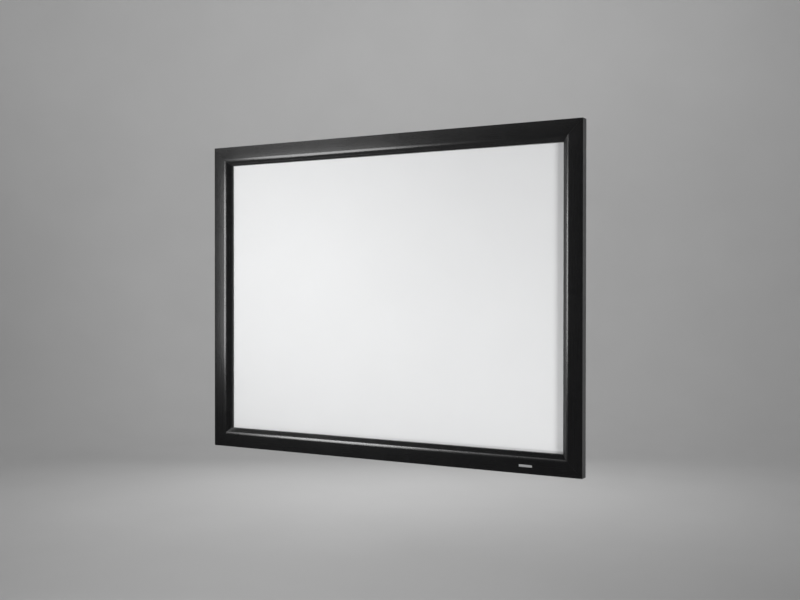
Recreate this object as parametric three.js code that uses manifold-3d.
// Fixed frame projector screen with a 1600 x 1200 mm picture.
// Four mitred aluminium members are joined by steel corner keys. A white sheet lies behind them and
// is pulled flat by rods in its hem and springs that hook on a rail inside each member.
// Millimetres, +Z up, the front faces -Y. The origin is the middle of the frame's outer box.
//
// Sections are drawn in two coordinates: inset, from the outer edge of the frame towards the
// picture, and depth, from the front face towards the wall.

import * as THREE from 'three';
import { mergeVertices } from 'three/addons/utils/BufferGeometryUtils.js';
import Module from 'manifold-3d';

const wasm = await Module();
wasm.setup();

// Picture and frame
const imageWidth = 1600;
const imageHeight = 1200;
const frameFace = 84;
const frameWall = 2;
const frameWeb = 1.6;

// Moulding of the front: flat face, rounded ridge, sloping bevel with a shadow groove, inner lip
const bevelWidth = 21.5;
const bevelDepth = 20;
const ridgeRadius = 20;
const lipRadius = 3;
const outerEdgeRadius = 1;
const rearEdgeRadius = 0.5;
const grooveFromLip = 10.5;
const grooveWidth = 1.4;
const grooveDepth = 0.8;

// Closed chamber that stiffens each member behind its ridge
const chamberWidth = 36;
const chamberToSheet = 6;
const chamberCornerRadius = 1;

// Rear flange that the wall fittings hold
const flangeReach = 8;

// Clearances: pieces that touch on the real screen, a rod in its pocket, the two halves of a mitre
const seatGap = 0.3;
const rodPlay = 0.3;
const mitreGap = 0.3;

// Sheet
const sheetRecess = 35.5;
const sheetThickness = 0.5;
const hemWidth = 18;
const sheetCornerCut = 35;
const notchWidth = 14;
const notchDepth = 6;
const notchRadius = 3;

// Rods in the hem
const rodRadius = 2;
const rodCornerGap = 20;

// Springs, spread evenly along each side, and the rail that they hook on
const springsAcross = 5;
const springsUpright = 4;
const springSpan = 41;
const springTurns = 5;
const coilLength = 21;
const coilRadius = 3;
const wireRadius = 0.5;
const hookWrap = THREE.MathUtils.degToRad(210);
const springToWall = 0.75;
const beadRadius = 1.5;
const beadNeck = 1.25;
const neckThickness = 1.2;

// Corner keys and their set screws
const keyWidth = 20;
const keyThickness = 3;
const keyLeg = 90;
const keyEndRadius = 3;
const keyLipReach = 3;
const screwFromCorner = 34;
const screwSpacing = 36;
const screwRadius = 2.5;
const screwLength = 6;
const screwPoint = 0.8;
const socketRadius = 1.45;
const socketDepth = 3;
const socketSides = 6;

// Wall fittings: the rounding of their corners
const fittingCornerRadius = 3;

// Upper wall hangers
const hangerThickness = 2;
const hangerWidth = 60;
const hangerPlate = 30;
const hangerBend = 1;
const tongueClearance = 1.3;
const slotWidth = 5.5;
const slotLength = 11;
const slotSpacing = 36;

// Lower wall clips
const clipThickness = 1.5;
const clipWidth = 40;
const clipPlate = 30;
const clipCatch = 3;
const clipNose = 3;
const clipHoleRadius = 2.5;
const clipHoleSpacing = 22;

// Sizes that follow from the ones above
const outerWidth = imageWidth + 2 * frameFace;
const outerHeight = imageHeight + 2 * frameFace;
const sheetMiddle = sheetRecess + sheetThickness / 2;
const frameDepth = sheetMiddle + coilRadius + wireRadius + springToWall;
const railOuter = frameWall + keyWidth + 2 * seatGap;
const railInner = railOuter + frameWeb;
const railTop = sheetMiddle + beadRadius;
const beadInset = railOuter - beadNeck - beadRadius;
const beadHookRadius = beadRadius + seatGap + wireRadius;
const rodInset = beadInset + springSpan;
const rodHookRadius = rodRadius + seatGap + wireRadius;
const pocketBore = rodRadius + rodPlay;
const pocketRadius = pocketBore + sheetThickness;
const screwHoleRadius = screwRadius + seatGap;

const arcSteps = 2;
const roundSides = 8;
const wireSides = 5;
const hookSteps = 5;
const stepsPerTurn = 6;
const cutMargin = 1;

const blackAluminium = { color: 0x15161a, roughness: 0.38, metalness: 0.6 };
const whiteSheet = { color: 0xf1f2f4, roughness: 0.9, metalness: 0 };
const rodGlassFibre = { color: 0xd9d6c4, roughness: 0.5, metalness: 0 };
const springSteel = { color: 0xb9bcc0, roughness: 0.3, metalness: 0.95 };
const zincSteel = { color: 0xa6a9ac, roughness: 0.4, metalness: 0.9 };
const blackSteel = { color: 0x1d1e20, roughness: 0.5, metalness: 0.5 };

// Each side of the frame, built with its outer edge upwards and turned about Y to its place.
// Counting along a side runs clockwise, seen from the front.
const across = {
  halfLength: outerWidth / 2,
  reach: outerHeight / 2,
  springs: springsAcross,
  springPitch: imageWidth / springsAcross,
};
const upright = {
  halfLength: outerHeight / 2,
  reach: outerWidth / 2,
  springs: springsUpright,
  springPitch: imageHeight / springsUpright,
};
const sides = [
  { name: 'top', turn: 0, ...across },
  { name: 'right', turn: Math.PI / 2, ...upright },
  { name: 'bottom', turn: Math.PI, ...across },
  { name: 'left', turn: -Math.PI / 2, ...upright },
];

// Y of a depth behind the front face
function depthToY(depth) {
  return depth - frameDepth / 2;
}

// A closed outline through corners [x, y, radius]. A radius rounds its corner with a tangent arc.
function roundedOutline(corners) {
  const shape = new THREE.Shape();
  corners.forEach(([x, y, radius = 0], i) => {
    const corner = new THREE.Vector2(x, y);
    if (radius === 0) {
      if (i === 0) shape.moveTo(x, y);
      else shape.lineTo(x, y);
      return;
    }
    const [beforeX, beforeY] = corners.at(i - 1);
    const [afterX, afterY] = corners[(i + 1) % corners.length];
    const back = new THREE.Vector2(beforeX, beforeY).sub(corner).normalize();
    const ahead = new THREE.Vector2(afterX, afterY).sub(corner).normalize();
    const halfAngle = Math.acos(THREE.MathUtils.clamp(back.dot(ahead), -1, 1)) / 2;
    const tangent = radius / Math.tan(halfAngle);
    const start = corner.clone().addScaledVector(back, tangent);
    const end = corner.clone().addScaledVector(ahead, tangent);
    const toCentre = back.clone().add(ahead).setLength(radius / Math.sin(halfAngle));
    const centre = corner.clone().add(toCentre);
    const startAngle = start.clone().sub(centre).angle();
    const endAngle = end.clone().sub(centre).angle();
    const clockwise = back.cross(ahead) > 0;
    if (i === 0) shape.moveTo(start.x, start.y);
    else shape.lineTo(start.x, start.y);
    shape.absarc(centre.x, centre.y, radius, startAngle, endAngle, clockwise);
  });
  shape.closePath();
  return shape;
}

// A prism of an outline, centred on z = 0
function prism(shape, length) {
  const geometry = new THREE.ExtrudeGeometry(shape, {
    depth: length,
    steps: 1,
    bevelEnabled: false,
    curveSegments: arcSteps,
  });
  return geometry.translate(0, 0, -length / 2);
}

// A prism of a section drawn as (inset, depth), running along X, its outer edge at the top at z = reach
function sectionAlongX(shape, length, reach) {
  return prism(shape, length).rotateY(Math.PI / 2).translate(0, depthToY(0), reach);
}

// A solid for booleans, from a closed three.js geometry
function solidOf(geometry) {
  const bare = geometry.clone();
  bare.deleteAttribute('normal');
  bare.deleteAttribute('uv');
  const merged = mergeVertices(bare, 1e-4);
  return new wasm.Manifold(new wasm.Mesh({
    numProp: 3,
    vertProperties: new Float32Array(merged.attributes.position.array),
    triVerts: new Uint32Array(merged.index.array),
  }));
}

// The three.js geometry of a solid
function geometryOf(solid) {
  const mesh = solid.getMesh();
  const geometry = new THREE.BufferGeometry();
  geometry.setAttribute('position', new THREE.BufferAttribute(mesh.vertProperties, 3));
  geometry.setIndex(new THREE.BufferAttribute(mesh.triVerts, 1));
  geometry.computeVertexNormals();
  return geometry;
}

// A fitting with its four corners rounded, as seen from the front
function withRoundCorners(geometry, width) {
  geometry.computeBoundingBox();
  const { min, max } = geometry.boundingBox;
  const outline = roundedOutline([
    [-width / 2, min.z, fittingCornerRadius],
    [width / 2, min.z, fittingCornerRadius],
    [width / 2, max.z, fittingCornerRadius],
    [-width / 2, max.z, fittingCornerRadius],
  ]);
  const blank = prism(outline, frameDepth + cutMargin).rotateX(Math.PI / 2);
  return geometryOf(solidOf(geometry).intersect(solidOf(blank)));
}

// A geometry with others cut out of it
function cut(geometry, cutters) {
  const solid = cutters.reduce((left, cutter) => left.subtract(solidOf(cutter)), solidOf(geometry));
  return geometryOf(solid);
}

function addPart(group, name, geometry, finish) {
  const mesh = new THREE.Mesh(geometry, new THREE.MeshStandardMaterial(finish));
  mesh.name = name;
  group.add(mesh);
  return mesh;
}

// Places of the springs along a side, evenly spaced about its middle
function springStations(side) {
  return Array.from({ length: side.springs }, (_, i) => (i - (side.springs - 1) / 2) * side.springPitch);
}

// Frame member: one extrusion, used on all four sides

// The V-shaped shadow groove, as three corners on the sloping bevel
function grooveCorners() {
  const slope = new THREE.Vector2(bevelWidth, bevelDepth).normalize();
  const inward = new THREE.Vector2(-slope.y, slope.x);
  const middle = new THREE.Vector2(frameFace, bevelDepth).addScaledVector(slope, -grooveFromLip);
  const near = middle.clone().addScaledVector(slope, -grooveWidth / 2);
  const far = middle.clone().addScaledVector(slope, grooveWidth / 2);
  const bottom = middle.clone().addScaledVector(inward, grooveDepth);
  return [near, bottom, far].map((corner) => [corner.x, corner.y]);
}

// The hollow behind the ridge and the bevel, one wall inside the moulding
function chamberOutline(chamberOuter, chamberRear) {
  const slopeAngle = Math.atan2(bevelDepth, bevelWidth);
  const ridgeInside = frameFace - bevelWidth - frameWall * Math.tan(slopeAngle / 2);
  const lipInside = (bevelWidth - frameWall) * Math.tan(slopeAngle) + frameWall / Math.cos(slopeAngle);
  return roundedOutline([
    [chamberOuter + frameWeb, frameWall, chamberCornerRadius],
    [ridgeInside, frameWall, ridgeRadius - frameWall],
    [frameFace - frameWall, lipInside],
    [frameFace - frameWall, chamberRear - frameWeb, chamberCornerRadius],
    [chamberOuter + frameWeb, chamberRear - frameWeb, chamberCornerRadius],
  ]);
}

function memberSection() {
  const ridge = frameFace - bevelWidth;
  const bearingEdge = sheetRecess - seatGap;
  const chamberOuter = frameFace - frameWall - chamberWidth;
  const chamberRear = sheetRecess - chamberToSheet;
  const lipFront = frameWall + keyThickness + 2 * seatGap;
  const lipRear = lipFront + frameWeb;
  const flangeFront = frameDepth - frameWall;
  const section = roundedOutline([
    [0, frameDepth, rearEdgeRadius],
    [0, 0, outerEdgeRadius],
    [ridge, 0, ridgeRadius],
    ...grooveCorners(),
    [frameFace, bevelDepth, lipRadius],
    // rounded edge that the sheet lies against
    [frameFace, bearingEdge, frameWall / 2],
    [frameFace - frameWall, bearingEdge, frameWall / 2],
    // rear and outer walls of the chamber
    [frameFace - frameWall, chamberRear],
    [chamberOuter, chamberRear, chamberCornerRadius],
    [chamberOuter, frameWall],
    // spring rail with its round bead
    [railInner, frameWall],
    [railInner, railTop, rearEdgeRadius],
    [beadInset - beadRadius, railTop, beadRadius],
    [beadInset - beadRadius, railTop - 2 * beadRadius, beadRadius],
    [beadInset + beadRadius, railTop - 2 * beadRadius, beadRadius],
    [beadInset + beadRadius, railTop - neckThickness],
    [railOuter, railTop - neckThickness],
    // key slot between two lips
    [railOuter, lipRear],
    [railOuter - keyLipReach, lipRear],
    [railOuter - keyLipReach, lipFront],
    [railOuter, lipFront],
    [railOuter, frameWall],
    [frameWall, frameWall],
    [frameWall, lipFront],
    [frameWall + keyLipReach, lipFront],
    [frameWall + keyLipReach, lipRear],
    [frameWall, lipRear],
    // rear flange
    [frameWall, flangeFront],
    [flangeReach, flangeFront],
    [flangeReach, frameDepth, rearEdgeRadius],
  ]);
  section.holes.push(chamberOutline(chamberOuter, chamberRear));
  return section;
}

// The extrusion, with both ends cut at 45 degrees: each end point stands back by its own inset.
// It starts as a prism from -1 to 1, so that z tells the two ends apart.
function frameMember(side) {
  const geometry = prism(memberSection(), 2);
  const position = geometry.attributes.position;
  const setback = mitreGap * Math.SQRT1_2;
  for (let i = 0; i < position.count; i += 1) {
    const inset = position.getX(i);
    const depth = position.getY(i);
    const end = position.getZ(i);
    position.setXYZ(i, end * (side.halfLength - inset - setback), depthToY(depth), side.reach - inset);
  }
  geometry.computeVertexNormals();
  return geometry;
}

// Corner key: a flat steel L in the key slots of two members, with four tapped holes

// The places of the screws on both legs, as (x, z) from the frame's outer corner
function screwPlaces() {
  const middle = frameWall + seatGap + keyWidth / 2;
  const stations = [screwFromCorner, screwFromCorner + screwSpacing];
  return stations.flatMap((station) => [[station, -middle], [middle, -station]]);
}

function cornerKey() {
  const outer = frameWall + seatGap;
  const inner = outer + keyWidth;
  const end = outer + keyLeg;
  const outline = roundedOutline([
    [outer, -outer, keyEndRadius],
    [end, -outer, keyEndRadius],
    [end, -inner, keyEndRadius],
    [inner, -inner],
    [inner, -end, keyEndRadius],
    [outer, -end, keyEndRadius],
  ]);
  const plate = prism(outline, keyThickness).rotateX(Math.PI / 2);
  const hole = new THREE.CylinderGeometry(screwHoleRadius, screwHoleRadius, 2 * keyThickness, roundSides);
  return cut(plate, screwPlaces().map(([x, z]) => hole.clone().translate(x, 0, z)));
}

// Set screw with a pointed end towards the front and a hexagon socket at the rear
function setScrew() {
  const profile = [
    new THREE.Vector2(0, -screwLength / 2),
    new THREE.Vector2(screwRadius - screwPoint, -screwLength / 2),
    new THREE.Vector2(screwRadius, -screwLength / 2 + screwPoint),
    new THREE.Vector2(screwRadius, screwLength / 2),
    new THREE.Vector2(0, screwLength / 2),
  ];
  const body = new THREE.LatheGeometry(profile, roundSides);
  const socket = new THREE.CylinderGeometry(socketRadius, socketRadius, 2 * socketDepth, socketSides);
  return cut(body, [socket.translate(0, screwLength / 2, 0)]);
}

// Sheet: welded pockets along four sides, notched where the springs reach the rods

// A solid bar along X at a given inset on a side
function barAlongX(radius, length, side) {
  const bar = new THREE.CylinderGeometry(radius, radius, length, roundSides);
  return bar.rotateZ(Math.PI / 2).translate(0, depthToY(sheetMiddle), side.reach - rodInset);
}

function rodLength(side) {
  return 2 * (side.halfLength - rodInset - rodCornerGap);
}

// The welded return of the hem, a second layer behind the sheet
function hemStrip(side, length) {
  const strip = new THREE.BoxGeometry(length, sheetThickness, hemWidth);
  const y = depthToY(sheetRecess + 1.5 * sheetThickness);
  return strip.translate(0, y, side.reach - rodInset - hemWidth / 2);
}

function springNotch(side, station) {
  const outer = rodInset - pocketRadius - cutMargin;
  const inner = rodInset + notchDepth;
  const outline = roundedOutline([
    [-notchWidth / 2, -outer],
    [notchWidth / 2, -outer],
    [notchWidth / 2, -inner, notchRadius],
    [-notchWidth / 2, -inner, notchRadius],
  ]);
  const height = 2 * (pocketRadius + cutMargin);
  const notch = prism(outline, height).rotateX(Math.PI / 2);
  return notch.translate(station, depthToY(sheetMiddle), side.reach);
}

function screenSheet() {
  const halfWidth = outerWidth / 2 - rodInset;
  const halfHeight = outerHeight / 2 - rodInset;
  const outline = new THREE.Shape([
    new THREE.Vector2(-halfWidth + sheetCornerCut, -halfHeight),
    new THREE.Vector2(halfWidth - sheetCornerCut, -halfHeight),
    new THREE.Vector2(halfWidth, -halfHeight + sheetCornerCut),
    new THREE.Vector2(halfWidth, halfHeight - sheetCornerCut),
    new THREE.Vector2(halfWidth - sheetCornerCut, halfHeight),
    new THREE.Vector2(-halfWidth + sheetCornerCut, halfHeight),
    new THREE.Vector2(-halfWidth, halfHeight - sheetCornerCut),
    new THREE.Vector2(-halfWidth, -halfHeight + sheetCornerCut),
  ]);
  const cloth = prism(outline, sheetThickness).rotateX(Math.PI / 2);
  let solid = solidOf(cloth.translate(0, depthToY(sheetMiddle), 0));
  for (const side of sides) {
    const pocketLength = 2 * (side.halfLength - rodInset - sheetCornerCut);
    const pocket = barAlongX(pocketRadius, pocketLength, side).rotateY(side.turn);
    const hem = hemStrip(side, pocketLength).rotateY(side.turn);
    solid = solid.add(solidOf(pocket)).add(solidOf(hem));
  }
  for (const side of sides) {
    const bore = barAlongX(pocketBore, rodLength(side) + 2 * cutMargin, side).rotateY(side.turn);
    solid = solid.subtract(solidOf(bore));
    for (const station of springStations(side)) {
      solid = solid.subtract(solidOf(springNotch(side, station).rotateY(side.turn)));
    }
  }
  return geometryOf(solid);
}

// Tension spring: a coil between two open hooks

// A curve through a list of points, sampled at those points
class WirePath extends THREE.Curve {
  constructor(points) {
    super();
    this.points = points;
  }

  getUtoTmapping(u) {
    return u;
  }

  getPoint(t, target = new THREE.Vector3()) {
    const place = THREE.MathUtils.clamp(t, 0, 1) * (this.points.length - 1);
    const index = Math.min(Math.floor(place), this.points.length - 2);
    return target.lerpVectors(this.points[index], this.points[index + 1], place - index);
  }
}

// Points of the wire from the hook on the rod, at z = 0, to the hook on the bead, at z = springSpan
function springPoints() {
  const coilSteps = springTurns * stepsPerTurn;
  const coilStart = (springSpan - coilLength) / 2;
  const points = [];
  for (let i = 0; i <= hookSteps; i += 1) {
    const angle = hookWrap * (i / hookSteps - 1);
    points.push(new THREE.Vector3(0, rodHookRadius * Math.cos(angle), rodHookRadius * Math.sin(angle)));
  }
  for (let i = 0; i <= coilSteps; i += 1) {
    const angle = (i / stepsPerTurn) * 2 * Math.PI;
    const z = coilStart + coilLength * (i / coilSteps);
    points.push(new THREE.Vector3(coilRadius * Math.sin(angle), coilRadius * Math.cos(angle), z));
  }
  for (let i = 0; i <= hookSteps; i += 1) {
    const angle = hookWrap * (i / hookSteps);
    const z = springSpan + beadHookRadius * Math.sin(angle);
    points.push(new THREE.Vector3(0, beadHookRadius * Math.cos(angle), z));
  }
  return points;
}

function tensionSpring() {
  const corners = Array.from({ length: wireSides }, (_, i) => {
    const angle = (i / wireSides) * 2 * Math.PI;
    return new THREE.Vector2(wireRadius * Math.cos(angle), wireRadius * Math.sin(angle));
  });
  const points = springPoints();
  return new THREE.ExtrudeGeometry(new THREE.Shape(corners), {
    steps: points.length - 1,
    extrudePath: new WirePath(points),
  });
}

// Upper wall hanger: folded steel, its tongue stands up in front of the top member's flange
function wallHanger(reach) {
  const ledge = flangeReach + seatGap;
  const tongueRear = frameDepth - frameWall - seatGap;
  const tongueFront = tongueRear - hangerThickness;
  const tongueTop = frameWall + tongueClearance;
  const section = roundedOutline([
    [ledge, frameDepth, hangerBend],
    [ledge, tongueRear],
    [tongueTop, tongueRear],
    [tongueTop, tongueFront],
    [ledge + hangerThickness, tongueFront, hangerBend],
    [ledge + hangerThickness, frameDepth - hangerThickness, hangerBend],
    [ledge + hangerPlate, frameDepth - hangerThickness],
    [ledge + hangerPlate, frameDepth],
  ]);
  const slotOutline = roundedOutline([
    [-slotLength / 2, -slotWidth / 2, slotWidth / 2],
    [slotLength / 2, -slotWidth / 2, slotWidth / 2],
    [slotLength / 2, slotWidth / 2, slotWidth / 2],
    [-slotLength / 2, slotWidth / 2, slotWidth / 2],
  ]);
  const slotHeight = reach - ledge - hangerPlate / 2 - hangerThickness / 2;
  const slots = [-slotSpacing / 2, slotSpacing / 2].map((x) => {
    const slot = prism(slotOutline, hangerThickness + cutMargin).rotateX(Math.PI / 2);
    return slot.translate(x, depthToY(frameDepth - hangerThickness / 2), slotHeight);
  });
  return cut(withRoundCorners(sectionAlongX(section, hangerWidth, reach), hangerWidth), slots);
}

// Lower wall clip: spring steel, its nose snaps over the edge of the bottom member's flange
function wallClip(reach) {
  const edge = flangeReach + seatGap;
  const catchRear = frameDepth - frameWall - seatGap;
  const section = roundedOutline([
    [edge, frameDepth],
    [edge, catchRear],
    [flangeReach - clipCatch, catchRear],
    [edge + clipThickness, catchRear - clipNose],
    [edge + clipThickness, frameDepth - clipThickness, clipThickness / 2],
    [edge + clipPlate, frameDepth - clipThickness],
    [edge + clipPlate, frameDepth],
  ]);
  const hole = new THREE.CylinderGeometry(clipHoleRadius, clipHoleRadius, 2 * clipThickness, roundSides);
  const holeHeight = reach - edge - (clipPlate + clipThickness) / 2;
  const holes = [-clipHoleSpacing / 2, clipHoleSpacing / 2].map((x) => {
    return hole.clone().translate(x, depthToY(frameDepth), holeHeight);
  });
  return cut(withRoundCorners(sectionAlongX(section, clipWidth, reach), clipWidth), holes);
}

// Assembly

const screen = new THREE.Group();
const springGeometry = tensionSpring();

addPart(screen, 'screen_sheet', screenSheet(), whiteSheet);

for (const side of sides) {
  const group = new THREE.Group();
  group.rotation.y = side.turn;
  screen.add(group);
  addPart(group, `frame_${side.name}`, frameMember(side), blackAluminium);
  addPart(group, `tension_rod_${side.name}`, barAlongX(rodRadius, rodLength(side), side), rodGlassFibre);
  springStations(side).forEach((station, i) => {
    const spring = addPart(group, `tension_spring_${side.name}_${i + 1}`, springGeometry, springSteel);
    spring.position.set(station, depthToY(sheetMiddle), side.reach - rodInset);
  });
}

// Corners, each turned from the one at the top left
const corners = [
  { name: 'top_left', turn: 0, x: -outerWidth / 2, z: outerHeight / 2 },
  { name: 'top_right', turn: Math.PI / 2, x: outerWidth / 2, z: outerHeight / 2 },
  { name: 'bottom_right', turn: Math.PI, x: outerWidth / 2, z: -outerHeight / 2 },
  { name: 'bottom_left', turn: -Math.PI / 2, x: -outerWidth / 2, z: -outerHeight / 2 },
];
const keyGeometry = cornerKey();
const screwGeometry = setScrew();
for (const corner of corners) {
  const group = new THREE.Group();
  group.position.set(corner.x, 0, corner.z);
  group.rotation.y = corner.turn;
  screen.add(group);
  const key = addPart(group, `corner_key_${corner.name}`, keyGeometry, zincSteel);
  key.position.y = depthToY(frameWall + seatGap + keyThickness / 2);
  screwPlaces().forEach(([x, z], i) => {
    const screw = addPart(group, `key_screw_${corner.name}_${i + 1}`, screwGeometry, blackSteel);
    screw.position.set(x, depthToY(frameWall + seatGap + screwLength / 2), z);
  });
}

// Wall fittings, each midway between two springs
const [topSide, , bottomSide] = sides;
const fittingOffset = (side) => (springStations(side).at(-1) + springStations(side).at(-2)) / 2;
const hangerGeometry = wallHanger(topSide.reach);
const clipGeometry = wallClip(bottomSide.reach).rotateY(Math.PI);
for (const [name, direction] of [['left', -1], ['right', 1]]) {
  const hanger = addPart(screen, `wall_hanger_${name}`, hangerGeometry, zincSteel);
  hanger.position.x = direction * fittingOffset(topSide);
  const clip = addPart(screen, `wall_clip_${name}`, clipGeometry, zincSteel);
  clip.position.x = direction * fittingOffset(bottomSide);
}

export default screen;
